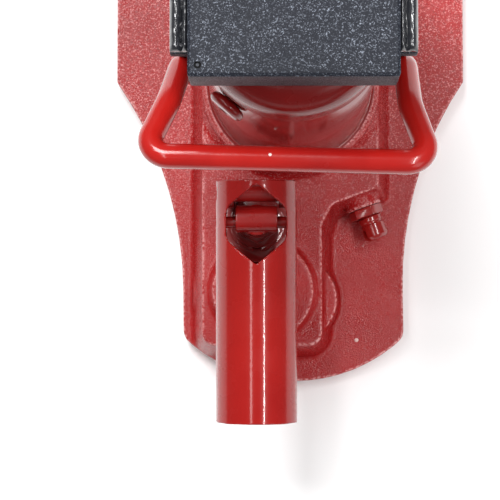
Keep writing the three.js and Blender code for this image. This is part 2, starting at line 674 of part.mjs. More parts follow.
// ---- release valve ------------------------------------------------------------------------
function releaseValve(frame) {
  jack.add(frame);
  const gland = cut(prism(hexOutline(19), 3.5, 9), bar(6.6, 0, 20));
  add("release_gland_nut", gland, "red", frame);
  const spindle = cut(
    join(
      bar(3.6, -19.4, -14), bar(6, -16, 12), bar(7.6, 9.6, VALVE.reach - 2),
      bar(7.6, VALVE.reach - 2.01, VALVE.reach, 0, 0, SMALL, 5.8),
    ),
    block(-10, 10, -2.2, 2.2, VALVE.reach - 7, VALVE.reach + 1),
  );
  add("release_spindle", spindle, "red", frame);
  const seat = solid(new THREE.SphereGeometry(4, 12, 8).translate(0, 0, -23.7));
  add("release_ball", seat, "chrome", frame);
}

const valve = valveFrame();
baseBody(valve);
cylinderBody();
frameBody();
springs();
pumpBody();
releaseValve(valve);

export default jack;
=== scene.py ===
"""Looks of a hydraulic toe jack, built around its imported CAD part."""
import json
import math
import bmesh
import bpy
from mathutils import Matrix, Vector, noise


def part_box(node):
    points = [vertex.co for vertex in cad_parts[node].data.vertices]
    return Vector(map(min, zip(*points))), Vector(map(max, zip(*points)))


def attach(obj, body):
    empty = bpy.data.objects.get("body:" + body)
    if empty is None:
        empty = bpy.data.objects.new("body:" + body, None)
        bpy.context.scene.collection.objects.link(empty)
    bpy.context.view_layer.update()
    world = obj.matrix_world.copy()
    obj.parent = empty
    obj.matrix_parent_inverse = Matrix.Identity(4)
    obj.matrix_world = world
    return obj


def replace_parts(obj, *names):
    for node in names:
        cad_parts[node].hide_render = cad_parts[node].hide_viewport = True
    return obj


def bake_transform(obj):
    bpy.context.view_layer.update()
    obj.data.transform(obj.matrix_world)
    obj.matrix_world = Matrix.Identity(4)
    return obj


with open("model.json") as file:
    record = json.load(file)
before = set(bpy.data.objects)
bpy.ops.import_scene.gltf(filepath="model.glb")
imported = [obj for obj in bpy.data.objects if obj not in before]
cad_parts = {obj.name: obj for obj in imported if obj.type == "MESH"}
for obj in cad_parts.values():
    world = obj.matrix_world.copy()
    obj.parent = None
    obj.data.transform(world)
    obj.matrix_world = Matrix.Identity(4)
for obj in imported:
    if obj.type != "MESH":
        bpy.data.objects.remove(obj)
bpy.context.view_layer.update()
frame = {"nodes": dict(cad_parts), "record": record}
MM = 0.001
SLOTS = {s["node"]: s["material_slot"] for s in frame["record"]["subparts"]}
BODY = {n: b for b, names in frame["record"]["behaviour"]["bodies"].items() for n in names}
UP = Vector((0, 0, 1))

# Sizes in mm that the CAD part and the pieces share.
GAP = 0.3                       # clearance between neighbouring pieces
TANK_WALL, TANK_SHOULDER = 4, 16
CYLINDER_BORE, CYLINDER_OUTER = 25.5, 31
RAM_RADIUS, RAM_SPIGOT = 22, 12
HANDLE_ROD = 6.6
SOCKET_OUTER, SOCKET_INNER = 24.3, 20.8
PIN_CHAMFER = 0.7
STEP_ANGLE = math.radians(30)   # a sharper turn than this counts as an edge to ease


# ---- shader helpers -----------------------------------------------------------------------
class Shader:
    """A Principled material that is put together node by node."""

    def __init__(self, name, colour, rough, metallic=0.0, coat=0.0, coat_rough=0.1):
        self.material = bpy.data.materials.new(name)
        self.material.use_nodes = True
        self.nodes = self.material.node_tree.nodes
        self.links = self.material.node_tree.links
        self.bsdf = self.nodes["Principled BSDF"]
        self.put(self.bsdf, "Base Color", (*colour, 1))
        self.put(self.bsdf, "Roughness", rough)
        self.put(self.bsdf, "Metallic", metallic)
        self.put(self.bsdf, "Coat Weight", coat)
        self.put(self.bsdf, "Coat Roughness", coat_rough)
        self.place = self.nodes.new("ShaderNodeTexCoord").outputs["Object"]

    def put(self, node, socket, value):
        if isinstance(value, bpy.types.NodeSocket):
            self.links.new(value, node.inputs[socket])
        else:
            node.inputs[socket].default_value = value

    def noise(self, scale, detail=3.0, rough=0.55, distortion=0.0, stretch=None):
        node = self.nodes.new("ShaderNodeTexNoise")
        place = self.place
        if stretch:
            mapping = self.nodes.new("ShaderNodeMapping")
            self.put(mapping, "Vector", self.place)
            self.put(mapping, "Scale", stretch)
            place = mapping.outputs[0]
        self.put(node, "Vector", place)
        self.put(node, "Scale", scale)
        self.put(node, "Detail", detail)
        self.put(node, "Roughness", rough)
        self.put(node, "Distortion", distortion)
        return node.outputs["Fac"]

    def cells(self, scale):
        node = self.nodes.new("ShaderNodeTexVoronoi")
        self.put(node, "Vector", self.place)
        self.put(node, "Scale", scale)
        return node.outputs["Distance"]

    def span(self, value, low, high, to_low=0.0, to_high=1.0):
        """The value taken smoothly from low..high to to_low..to_high."""
        node = self.nodes.new("ShaderNodeMapRange")
        node.interpolation_type = "SMOOTHSTEP"
        self.put(node, "Value", value)
        for key, number in (("From Min", low), ("From Max", high),
                            ("To Min", to_low), ("To Max", to_high)):
            self.put(node, key, number)
        return node.outputs["Result"]

    def sums(self, a, b, kind="ADD"):
        """Two values joined by an operation of the Math node."""
        node = self.nodes.new("ShaderNodeMath")
        node.operation = kind
        self.put(node, 0, a)
        self.put(node, 1, b)
        return node.outputs[0]

    def mix(self, amount, a, b):
        """Colour a turned into colour b by the amount."""
        node = self.nodes.new("ShaderNodeMix")
        node.data_type = "RGBA"
        factor, first, second, colour = 0, 6, 7, 2   # the node's sockets for colours
        self.put(node, factor, amount)
        for index, value in ((first, a), (second, b)):
            self.put(node, index, value if isinstance(value, bpy.types.NodeSocket)
                     else (*value, 1))
        return node.outputs[colour]

    def edges(self, low=0.53, high=0.62):
        """1 on convex edges, 0 on flat and hollow places."""
        return self.span(self.nodes.new("ShaderNodeNewGeometry").outputs["Pointiness"],
                         low, high)

    def hollows(self):
        """1 in inner corners, 0 elsewhere."""
        return self.span(self.nodes.new("ShaderNodeNewGeometry").outputs["Pointiness"],
                         0.44, 0.485, 1.0, 0.0)

    def bump(self, height, strength, distance, under=None):
        node = self.nodes.new("ShaderNodeBump")
        self.put(node, "Height", height)
        self.put(node, "Strength", strength)
        self.put(node, "Distance", distance)
        if under is not None:
            self.put(node, "Normal", under)
        return node.outputs[0]

    def set(self, socket, value):
        self.put(self.bsdf, socket, value)


def enamel(name, colour, deep, rough, coat, peel, depth, edge_wear_and_highlight=0.25, ripple=0.0, gloss=0.32):
    """Red enamel: tone that wanders, orange peel, painted shade in the hollows, and paler edges
    for worn paint (raised on the cast base as painted edge highlights).

    peel is how fine the orange peel is and depth how high; ripple adds longer waves.
    """
    s = Shader(name, colour, rough, coat=coat, coat_rough=0.07)
    s.set("Specular IOR Level", gloss)
    tone = s.mix(s.span(s.noise(16, 3), 0.25, 0.8), colour, deep)
    streaks = s.span(s.noise(60, 5, 0.6), 0.4, 0.85, 0.0, 0.12)
    tone = s.mix(streaks, tone, deep)
    # paler paint on convex edges: worn paint, and on the cast base also a painted edge highlight
    pale_edge = s.sums(s.edges(), s.span(s.noise(240, 4), 0.42, 0.62), "MULTIPLY")
    pale = tuple(min(1.0, c * 1.25 + 0.03) for c in colour)
    tone = s.mix(s.sums(pale_edge, edge_wear_and_highlight, "MULTIPLY"), tone, pale)
    # painted shade: inner corners are darkened towards a deep red, where shade falls
    hollow_shade = s.sums(s.hollows(), s.span(s.noise(90, 4), 0.35, 0.65), "MULTIPLY")
    tone = s.mix(s.sums(hollow_shade, 0.45, "MULTIPLY"), tone, tuple(c * 0.35 for c in deep))
    specks = s.span(s.cells(210), 0.05, 0.02)
    chosen = s.span(s.noise(35, 2), 0.62, 0.66)
    tone = s.mix(s.sums(s.sums(specks, chosen, "MULTIPLY"), 0.5, "MULTIPLY"), tone,
                 (0.75, 0.42, 0.38))
    s.set("Base Color", tone)
    s.set("Roughness", s.span(s.noise(45, 4), 0.3, 0.7, rough * 0.8, rough * 1.25))
    grain = s.noise(peel, 2.5, 0.5)
    normal = s.bump(grain, 1.0, depth)
    if ripple:
        normal = s.bump(s.noise(peel * 0.22, 2, 0.5), 1.0, ripple, normal)
    s.set("Normal", normal)
    s.set("Coat Normal", normal)
    return s


def cast_enamel():
    """Satin enamel over a sand casting: coarse grain under the paint, with painted glints, a
    painted sheen that grows towards +Y, painted shade in the pits and painted highlights on the
    crests.
    """
    # the raised edge paleness here paints highlights along the edges as well as wear
    s = enamel("cast_red_enamel", (0.375, 0.0085, 0.0095), (0.30, 0.0055, 0.0065),
               0.25, 0.0, 560, 0.00016, edge_wear_and_highlight=0.5)
    # painted glints: pale pink specks that stand for light sparkling on the grain
    glint_specks = s.span(s.noise(950, 2.0, 0.65), 0.52, 0.66)
    # painted shade: dark red specks in the pits of the grain
    pit_shade = s.span(s.noise(900, 2, 0.6), 0.48, 0.34)
    # painted sheen: glints and pit shade grow stronger towards +Y, where the light's reflection
    # falls
    split = s.nodes.new("ShaderNodeSeparateXYZ")
    s.put(split, 0, s.place)
    sheen_falloff = s.span(split.outputs["Y"], -0.13, 0.02, 0.08, 0.62)
    tone = s.bsdf.inputs["Base Color"].links[0].from_socket
    tone = s.mix(s.sums(glint_specks, sheen_falloff, "MULTIPLY"), tone, (0.80, 0.34, 0.33))
    tone = s.mix(s.sums(pit_shade, sheen_falloff, "MULTIPLY"), tone, (0.17, 0.0030, 0.0035))
    # painted highlight: pale pink along the crests of the casting's edges
    crest_highlight = s.sums(s.edges(0.508, 0.545), s.span(s.noise(620, 3, 0.6), 0.40, 0.60), "MULTIPLY")
    tone = s.mix(s.sums(crest_highlight, 0.7, "MULTIPLY"), tone, (0.88, 0.46, 0.45))
    s.set("Base Color", tone)
    sand = s.bump(s.noise(2100, 1, 0.5), 1.0, 0.00012)
    sand = s.bump(s.noise(1000, 2, 0.5), 1.0, 0.00030, sand)
    swell = s.bump(s.noise(200, 2, 0.5), 0.7, 0.00016, sand)
    s.set("Normal", swell)
    s.set("Coat Normal", swell)
    s.set("Coat Roughness", 0.2)
    s.set("Specular IOR Level", 0.3)
    return s.material


def hammered(name, colour, light, rough, grain, depth, coat=0.0):
    """Black hammered enamel: a speckle of raised grains whose tips are painted pale as glints.
    """
    s = Shader(name, colour, rough, coat=coat, coat_rough=0.12)
    s.set("Specular IOR Level", 0.13 if coat < 0.5 else 0.5)
    fleck = s.noise(grain, 2.5, 0.75)
    patch = s.noise(grain * 0.3, 3, 0.6)
    # painted glints: the tips of the grains take the pale colour
    lit = s.sums(s.span(fleck, 0.54, 0.66), s.span(patch, 0.35, 0.7, 0.3, 1.0), "MULTIPLY")
    tone = s.mix(lit, colour, light)
    tone = s.mix(s.span(s.noise(14, 3), 0.4, 0.7, 0.0, 0.35), tone,
                 tuple(c * 0.5 for c in colour))
    pale_edge = s.sums(s.edges(), s.span(s.noise(300, 4), 0.45, 0.6), "MULTIPLY")
    tone = s.mix(s.sums(pale_edge, 0.5, "MULTIPLY"), tone, (0.16, 0.165, 0.18))
    s.set("Base Color", tone)
    s.set("Roughness", s.span(fleck, 0.3, 0.7, rough * 1.15, rough * 0.8))
    normal = s.bump(fleck, 0.9, depth)
    normal = s.bump(s.noise(grain * 0.35, 2), 0.8, depth * 2.2, normal)
    s.set("Normal", normal)
    s.set("Coat Normal", normal)
    return s.material


def steel(name, colour, rough, stretch, scratch=0.5, stain=(0.2, 0.15, 0.11)):
    """Bare or plated steel: tool marks along one way, smears of oil and dulled hollows."""
    s = Shader(name, colour, rough, metallic=1.0)
    marks = s.noise(420, 4, 0.7, stretch=stretch)
    smear = s.span(s.noise(45, 5, 0.6, 0.6), 0.45, 0.72)
    tone = s.mix(s.sums(smear, 0.35, "MULTIPLY"), colour, tuple(c * 0.62 for c in colour))
    tone = s.mix(s.sums(s.hollows(), 0.6, "MULTIPLY"), tone, stain)
    tone = s.mix(s.sums(s.edges(), 0.4, "MULTIPLY"), tone,
                 tuple(min(1.0, c * 1.3) for c in colour))
    s.set("Base Color", tone)
    s.set("Roughness", s.span(s.sums(marks, smear), 0.4, 1.5, rough * 0.75, rough * 1.5))
    s.set("Normal", s.bump(marks, scratch, 0.00003))
    return s.material


def rubber(name, colour):
    s = Shader(name, colour, 0.7)
    bloom = s.span(s.noise(80, 4), 0.4, 0.75, 0.0, 0.4)
    s.set("Base Color", s.mix(bloom, colour, tuple(c * 2.6 + 0.01 for c in colour)))
    s.set("Roughness", s.span(s.noise(120, 3), 0.3, 0.7, 0.55, 0.85))
    s.set("Normal", s.bump(s.noise(900, 3), 0.4, 0.00005))
    return s.material


def all_materials():
    red = (0.335, 0.0100, 0.0080)
    deep = (0.255, 0.0055, 0.0050)
    dark, darker = (0.25, 0.0080, 0.0065), (0.16, 0.0040, 0.0040)
    return {
        "base_paint": cast_enamel(),
        "tank_paint": enamel("tank_red_enamel", dark, darker, 0.18, 0.15, 260, 0.00003,
                             ripple=0.00004).material,
        "cap_paint": enamel("cap_red_enamel", dark, darker, 0.24, 0.0, 300, 0.00003,
                            ripple=0.00005).material,
        "handle_paint": enamel("handle_red_enamel", (0.40, 0.0120, 0.0090), deep, 0.22, 0.3,
                               420, 0.00003).material,
        "socket_paint": enamel("socket_red_enamel", red, deep, 0.26, 0.6, 520, 0.00003,
                               edge_wear_and_highlight=0.45, gloss=0.12).material,
        "collar_paint": enamel("collar_red_enamel", (0.20, 0.0060, 0.0060), darker, 0.34,
                               0.5, 520, 0.00005, edge_wear_and_highlight=0.4).material,
        "pin_paint": enamel("pin_red_enamel", (0.30, 0.0090, 0.0080), deep, 0.3, 0.6, 600,
                            0.00004, edge_wear_and_highlight=0.7).material,
        "valve_paint": enamel("valve_red_enamel", red, deep, 0.26, 0.8, 480, 0.00004,
                              edge_wear_and_highlight=0.5).material,
        "hammered_black": hammered("black_hammered_enamel", (0.013, 0.0145, 0.021),
                                   (0.27, 0.30, 0.36), 0.46, 1300, 0.00014),
        "weld_black": hammered("black_weld_enamel", (0.018, 0.019, 0.023),
                               (0.035, 0.037, 0.044), 0.16, 500, 0.00006, 1.0),
        "machined_steel": steel("turned_steel", (0.42, 0.42, 0.43), 0.3, (1, 1, 9)),
        "zinc_steel": steel("zinc_plate", (0.50, 0.50, 0.47), 0.36, (1, 1, 1)),
        "spring_steel": steel("oiled_spring_steel", (0.27, 0.27, 0.28), 0.34, (3, 3, 1)),
        "hard_chrome": steel("hard_chrome", (0.72, 0.73, 0.75), 0.12, (1, 1, 14), 0.25),
        "bronze": steel("machined_bronze", (0.50, 0.34, 0.15), 0.34, (1, 1, 7)),
        "seal_rubber": rubber("nitrile_rubber", (0.014, 0.014, 0.014)),
        "ring_groove_shade": hammered("ring_groove_shade", (0.0015, 0.0015, 0.002), (0.009, 0.009, 0.011),
                              0.7, 900, 0.00005),
        # pale primer for the flange spot, also the painted highlight nib on the handle
        "primer_and_highlight": enamel("primer_and_highlight", (0.85, 0.66, 0.64), (0.70, 0.45, 0.42), 0.4,
                                0.2, 700, 0.00002).material,
        "plug_paint": enamel("plug_red_enamel", (0.20, 0.0070, 0.0065), darker, 0.28, 0.3,
                             500, 0.00003).material,
    }


MATERIALS = all_materials()


# ---- mesh helpers -------------------------------------------------------------------------
def piece(name, mesh, node, sharp=38, rides=True):
    """A finished piece that stands for a CAD node, or is added beside it.

    Edges that turn less than sharp degrees are shaded smooth.
    """
    for polygon in mesh.polygons:
        polygon.use_smooth = True
    bm = bmesh.new()
    bm.from_mesh(mesh)
    bmesh.ops.recalc_face_normals(bm, faces=bm.faces)
    for edge in bm.edges:
        edge.smooth = len(edge.link_faces) == 2 and edge.calc_face_angle(0) < math.radians(sharp)
    bm.to_mesh(mesh)
    bm.free()
    obj = bpy.data.objects.new(name, mesh)
    bpy.context.scene.collection.objects.link(obj)
    mesh.materials.clear()
    mesh.materials.append(MATERIALS[SLOTS[node]])
    if rides:
        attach(obj, BODY[node])
    return obj


def mesh_of(verts, faces):
    mesh = bpy.data.meshes.new("shape")
    mesh.from_pydata([tuple(v) for v in verts], [], faces)
    mesh.update()
    return mesh


def node_mesh(node):
    """A welded copy of a CAD node with its flat faces whole again."""
    bm = bmesh.new()
    bm.from_mesh(frame["nodes"][node].data)
    same_place, same_plane = 1e-6, math.radians(0.6)
    bmesh.ops.remove_doubles(bm, verts=bm.verts, dist=same_place)
    bmesh.ops.dissolve_limit(bm, angle_limit=same_plane, verts=bm.verts, edges=bm.edges)
    mesh = bpy.data.meshes.new(node)
    bm.to_mesh(mesh)
    bm.free()
    return mesh


def modified(mesh, *steps):
    """The mesh after modifiers, each given as (type, {settings})."""
    obj = bpy.data.objects.new("worked", mesh)
    bpy.context.scene.collection.objects.link(obj)
    for kind, settings in steps:
        modifier = obj.modifiers.new(kind, kind)
        for key, value in settings.items():
            setattr(modifier, key, value)
    graph = bpy.context.evaluated_depsgraph_get()
    made = bpy.data.meshes.new_from_object(obj.evaluated_get(graph))
    bpy.data.objects.remove(obj)
    return made


def eased(node, width, sharp=38):
    """A CAD node with its edges broken by a small round, width in mm."""
    mesh = modified(node_mesh(node), ("BEVEL", {
        "width": width * MM, "segments": 2, "limit_method": "ANGLE",
        "angle_limit": STEP_ANGLE, "use_clamp_overlap": True}))
    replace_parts(piece(f"{node}_body", mesh, node, sharp), node)


def cut_away(mesh, cutter_mesh, *first_steps):
    """The mesh after the first steps, with the cutter's space taken out of it."""
    cutter = bpy.data.objects.new("cutter", cutter_mesh)
    bpy.context.scene.collection.objects.link(cutter)
    made = modified(mesh, *first_steps, ("BOOLEAN", {
        "operation": "DIFFERENCE", "object": cutter, "solver": "EXACT"}))
    bpy.data.objects.remove(cutter)
    return made


def remeshed(node, voxel, iterations):
    """A CAD node as one even skin, voxel in mm, smoothed so that its corners run softly."""
    return modified(
        node_mesh(node),
        ("REMESH", {"mode": "VOXEL", "voxel_size": voxel * MM}),
        ("SMOOTH", {"factor": 0.5, "iterations": iterations}),
    )


def softened(profile, radius, closed):
    """A polyline of (r, z) with its corners rounded off."""
    steps, most = 3, 0.45   # points of a round, and its most reach along a side
    count = len(profile)
    points = []
    for i, (r, z) in enumerate(profile):
        corner = Vector((r, z))
        if not closed and i in (0, count - 1):
            points.append(corner)
            continue
        back = Vector(profile[i - 1]) - corner
        ahead = Vector(profile[(i + 1) % count]) - corner
        reach = min(radius, back.length * most, ahead.length * most)
        start, end = corner + back.normalized() * reach, corner + ahead.normalized() * reach
        for k in range(steps + 1):
            t = k / steps
            points.append(start * (1 - t) ** 2 + corner * 2 * t * (1 - t) + end * t ** 2)
    return points


def lathe(profile, closed=True, radius=0.4, around=96, place=Matrix()):
    """Turns (r, z) points in mm about Z; an open profile starts and ends on the axis."""
    points = softened(profile, radius, closed)
    verts, rings, faces = [], [], []
    for r, z in points:
        if r < 1e-6:
            rings.append([len(verts)])
            verts.append(place @ (Vector((0, 0, z)) * MM))
            continue
        ring = []
        for k in range(around):
            a = 2 * math.pi * k / around
            ring.append(len(verts))
            verts.append(place @ (Vector((r * math.cos(a), r * math.sin(a), z)) * MM))
        rings.append(ring)
    pairs = list(zip(rings, rings[1:])) + ([(rings[-1], rings[0])] if closed else [])
    for low, high in pairs:
        for k in range(around):
            n = (k + 1) % around
            face = [low[k % len(low)], low[n % len(low)], high[n % len(high)],
                    high[k % len(high)]]
            face = list(dict.fromkeys(face))
            if len(face) > 2:
                faces.append(face)
    return mesh_of(verts, faces)


def sweep(points, radius, around, taper=None):
    """A round rod along points in mm; taper gives the radius factor along it."""
    verts, faces = [], []
    tangent = (points[1] - points[0]).normalized()
    side = tangent.orthogonal().normalized()
    for i, point in enumerate(points):
        ahead = points[min(i + 1, len(points) - 1)] - points[max(i - 1, 0)]
        turned = ahead.normalized()
        side = (tangent.rotation_difference(turned) @ side).normalized()
        tangent = turned
        other = tangent.cross(side)
        r = radius * (taper(i / (len(points) - 1)) if taper else 1)
        for k in range(around):
            a = 2 * math.pi * k / around
            verts.append((point + side * (r * math.cos(a)) + other * (r * math.sin(a))) * MM)
    for i in range(len(points) - 1):
        for k in range(around):
            n = (k + 1) % around
            a = i * around
            faces.append([a + k, a + n, a + around + n, a + around + k])
    faces.append(list(range(around))[::-1])
    faces.append(list(range((len(points) - 1) * around, len(points) * around)))
    return mesh_of(verts, faces)


def bent(corners, steps, straight):
    """Points along corners [(point, bend)], each turned with an even bend.

    A bend has steps + 1 points and a straight run has straight ones.
    """
    out = [corners[0][0]]
    for (before, _), (corner, bend), (after, _) in zip(corners, corners[1:], corners[2:]):
        back, ahead = (before - corner).normalized(), (after - corner).normalized()
        half = back.angle(ahead) / 2
        reach = bend / math.tan(half)
        start, end = corner + back * reach, corner + ahead * reach
        centre = corner + (back + ahead).normalized() * (bend / math.sin(half))
        for k in range(1, straight):
            out.append(out[-1].lerp(start, 1 / (straight - k + 1)))
        turned = math.pi - 2 * half
        axis = (start - centre).cross(end - centre).normalized()
        for k in range(steps + 1):
            turn = Matrix.Rotation(turned * k / steps, 3, axis)
            out.append(centre + turn @ (start - centre))
    last = corners[-1][0]
    for k in range(1, straight):
        out.append(out[-1].lerp(last, 1 / (straight - k + 1)))
    out.append(last)
    return out


def middle(node):
    """The middle of a CAD node's box, in mm."""
    low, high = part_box(node)
    return (Vector(low) + Vector(high)) / 2 / MM


def low_high(node):
    """The lowest and the highest corner of a CAD node's box, in mm."""
    low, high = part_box(node)
    return Vector(low) / MM, Vector(high) / MM


def onto(point, axis):
    """The place matrix that puts +Z along axis, at point in mm."""
    turn = UP.rotation_difference(Vector(axis)).to_matrix().to_4x4()
    return Matrix.Translation(Vector(point) * MM) @ turn


# ---- base casting -------------------------------------------------------------------------
def base_casting():
    """The casting, with every corner as soft as sand leaves it."""
    mesh = remeshed("base_casting", 1.15, 2)
    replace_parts(piece("base_casting_body", mesh, "base_casting", 80), "base_casting")


def paint_spot():
    """A small spot of bare primer, proud of the paint, on the tail of the flange."""
    tail = low_high("base_casting")[0].y
    flange_top = 14.95
    spot = Vector((42, tail + 26, flange_top))
    mesh = lathe([(0, 0.75), (0.8, 0.6), (1.4, 0), (0, -0.1)], False, 0.3, 16,
                 onto(spot, UP))
    pale_dot = piece("base_paint_spot", mesh, "base_casting", 80)
    pale_dot.data.materials[0] = MATERIALS["primer_and_highlight"]


# ---- tank, ram and what is inside ---------------------------------------------------------
def tank():
    low, high = low_high("tank_tube")
    outer = (high.x - low.x) / 2
    inner = outer - TANK_WALL
    tube = lathe([(inner, low.z), (outer, low.z), (outer, high.z), (inner, high.z)],
                 True, 0.5, 128)
    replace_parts(piece("tank_wall", tube, "tank_tube"), "tank_tube")
    piece("tank_foot_weld", foot_weld(outer, low.z + 12.2), "tank_tube", 70)


def foot_weld(radius, height):
    """The weld that closes the foot of the tank, a soft ring of small ripples."""
    verts, faces = [], []
    around, ring = 180, 9
    across, tall = 1.9, 1.7   # half sizes of the bead
    for k in range(around):
        a = 2 * math.pi * k / around
        lump = 0.25 * noise.noise(Vector((math.cos(a) * 9, math.sin(a) * 9, 1)))
        lump += 0.12 * math.sin(a * 90)
        for j in range(ring):
            b = 2 * math.pi * j / ring
            r = radius + 0.2 + (across + lump) * math.cos(b)
            z = height + (tall + lump) * math.sin(b)
            verts.append(Vector((r * math.cos(a), r * math.sin(a), z)) * MM)
    for k in range(around):
        n = (k + 1) % around
        for j in range(ring):
            m = (j + 1) % ring
            faces.append([k * ring + j, n * ring + j, n * ring + m, k * ring + m])
    return mesh_of(verts, faces)


def cap():
    low, high = low_high("tank_cap")
    radius = (high.x - low.x) / 2
    crown, shoulder = radius - TANK_SHOULDER, high.z - 20
    seat = low_high("cylinder_tube")[1].z + GAP
    spigot, skirt = 44, 31.3   # outer and inner radius of the rim that stands in the tank
    steps = 12
    dome = []
    for k in range(steps + 1):
        a = math.pi / 2 * k / steps
        dome.append((crown + (radius - crown) * math.cos(a),
                     shoulder + (high.z - shoulder) * math.sin(a)))
    tank_top = low_high("tank_tube")[1].z + GAP
    profile = [(spigot, tank_top), (radius - 0.6, tank_top), (radius, tank_top + 0.6), *dome,
               (CYLINDER_BORE, high.z), (CYLINDER_BORE, seat), (skirt, seat),
               (skirt, seat - 13), (spigot, seat - 13)]
    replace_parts(piece("tank_cap_dome", lathe(profile, True, 0.5, 128), "tank_cap", 50),
                "tank_cap")


def filler():
    """The round filler plug, with a fat rim, facing out of the tank's wall."""
    low, high = low_high("oil_filler_plug")
    centre = (low + high) / 2
    out = Vector((centre.x, centre.y, 0)).normalized()
    wall = low_high("tank_tube")[1].x
    place = onto(out * wall + UP * centre.z, out)
    radius, proud = (high.z - low.z) / 2, 6.6
    fat, tall, steps = 3.3, 2.95, 12
    rim = [(radius - fat + fat * math.cos(a), fat + tall * math.sin(a))
           for a in (math.pi / steps * k for k in range(-steps // 2, steps // 2 + 1))]
    head = lathe([(0, proud - 0.9), (3, proud - 0.9), (3.6, proud), *rim[::-1], (4, 0.35),
                  (4, -5), (0, -5)], False, 0.3, 64, place)
    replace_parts(piece("oil_filler_head", head, "oil_filler_plug"), "oil_filler_plug")


def turned_pieces():
    """Round pieces of the cylinder, each turned again with many sides."""
    low, high = low_high("cylinder_tube")
    tube = lathe([(CYLINDER_BORE, low.z), (CYLINDER_OUTER, low.z), (CYLINDER_OUTER, high.z),
                  (CYLINDER_BORE, high.z)], True, 0.4)
    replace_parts(piece("cylinder_wall", tube, "cylinder_tube"), "cylinder_tube")
    low, high = low_high("ram")
    step = low_high("piston")[1].z + GAP
    ram = [(0, low.z), (RAM_SPIGOT - 0.8, low.z), (RAM_SPIGOT, low.z + 0.8),
           (RAM_SPIGOT, step), (RAM_RADIUS - 1.2, step), (RAM_RADIUS, step + 1.2),
           (RAM_RADIUS, high.z), (0, high.z)]
    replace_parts(piece("ram_rod", lathe(ram, False, 0.3), "ram"), "ram")
    for node, inner in (("ram_guide", RAM_RADIUS + GAP), ("piston", RAM_SPIGOT + GAP)):
        low, high = low_high(node)
        outer = (high.x - low.x) / 2
        mesh = lathe([(inner, low.z), (outer, low.z), (outer, high.z), (inner, high.z)],
                     True, 0.6)
        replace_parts(piece(f"{node}_ring", mesh, node), node)
    low, high = low_high("tank_gasket")
    outer, inner = 50, 50 - TANK_WALL
    mesh = lathe([(inner, low.z), (outer, low.z), (outer, high.z), (inner, high.z)],
                 True, 0.5)
    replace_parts(piece("tank_gasket_ring", mesh, "tank_gasket"), "tank_gasket")
    low, high = low_high("ram_wiper")
    inner, outer, lip = RAM_RADIUS + GAP, CYLINDER_BORE - GAP, high.z
    mesh = lathe([(inner, low.z), (outer, low.z), (outer, lip - 1.4), (RAM_RADIUS + 1.4, lip),
                  (inner, lip)], True, 0.4)
    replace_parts(piece("ram_wiper_lip", mesh, "ram_wiper"), "ram_wiper")


# ---- head, side plates and welds ----------------------------------------------------------
def head():
    """The head plate, with the small ring mark near its left rear corner."""
    low, high = low_high("head_plate")
    mark = Vector((low.x + 5.1, low.y + 5.6, high.z))
    inner, outer, deep = 0.75, 1.85, -0.9
    ring = lathe([(inner, deep), (outer, deep), (outer, 0.5), (inner, 0.5)], True, 0.05, 32,
                 onto(mark, UP))
    mesh = cut_away(node_mesh("head_plate"), ring, ("BEVEL", {
        "width": 0.9 * MM, "segments": 3, "limit_method": "ANGLE",
        "angle_limit": STEP_ANGLE}))
    obj = piece("head_block", mesh, "head_plate")
    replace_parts(obj, "head_plate")
    # painted shade: the bottom and walls of the ring are made near-black
    obj.data.materials.append(MATERIALS["ring_groove_shade"])
    for polygon in obj.data.polygons:
        offset = Vector(polygon.center) / MM - mark
        if offset.length < outer + 0.55 and offset.z < -0.1:
            polygon.material_index = 1


def weld(side, sign):
    """Two runs of bead side by side, with ripples and a wavering groove between."""
    low, high = low_high(f"head_weld_{side}")
    inner, outer = sorted((abs(low.x), abs(high.x)))
    length = high.y - low.y
    rows, cols = 260, 25
    inner_run, inner_rise, outer_rise, end_round = 3.1, 4.6, 4.3, 2.6
    verts = []
    shift = 17.0 if sign > 0 else 3.0   # makes the two sides ripple differently
    for i in range(rows):
        t = i / (rows - 1)
        y = low.y + length * t
        end = min(1.0, min(t, 1 - t) * length / end_round) ** 0.5
        wander = noise.noise(Vector((y * 0.09, shift, 0.0))) * 0.7
        groove = inner + inner_run + wander
        ripple = noise.noise(Vector((y * 0.22, shift, 4.0)))
        chain = abs(math.sin(y * 0.45 + 2.5 * noise.noise(Vector((y * 0.15, 0, shift)))))
        for j in range(cols):
            u = j / (cols - 1)
            x = inner + (outer - inner) * u
            if x < groove:
                v = (x - inner) / max(groove - inner, 0.1)
                rise = inner_rise * math.sin(math.pi * (0.22 + 0.72 * v)) ** 0.8
                rise += 1.2 * (1 - v)
                rise += 0.5 * ripple
            else:
                v = (x - groove) / max(outer - groove, 0.1)
                rise = outer_rise * math.sin(math.pi * min(1.0, 0.08 + 0.86 * v)) ** 0.7
                rise += 0.22 * chain * math.sin(math.pi * v) + 0.5 * ripple
            lump = 0.3 * noise.noise(Vector((x * 0.5, y * 0.3, shift)))
            z = low.z + max(0.12, (rise + lump) * end)
            verts.append(Vector((sign * x, y, min(z, high.z - 0.02))))
    base = len(verts)
    for i in range(rows):
        y = low.y + length * i / (rows - 1)
        for j in range(cols):
            x = inner + (outer - inner) * j / (cols - 1)
            verts.append(Vector((sign * x, y, low.z)))
    faces = []
    for i in range(rows - 1):
        for j in range(cols - 1):
            a = i * cols + j
            faces.append([a, a + 1, a + cols + 1, a + cols])
            faces.append([base + a, base + a + cols, base + a + cols + 1, base + a + 1])
    rim = list(range(cols))
    rim += [i * cols + cols - 1 for i in range(1, rows)]
    rim += [(rows - 1) * cols + j for j in range(cols - 2, -1, -1)]
    rim += [i * cols for i in range(rows - 2, 0, -1)]
    for a, b in zip(rim, rim[1:] + rim[:1]):
        faces.append([a, base + a, base + b, b])
    mesh = mesh_of([v * MM for v in verts], faces)
    node = f"head_weld_{side}"
    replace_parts(piece(f"{node}_bead", mesh, node, 60), node)


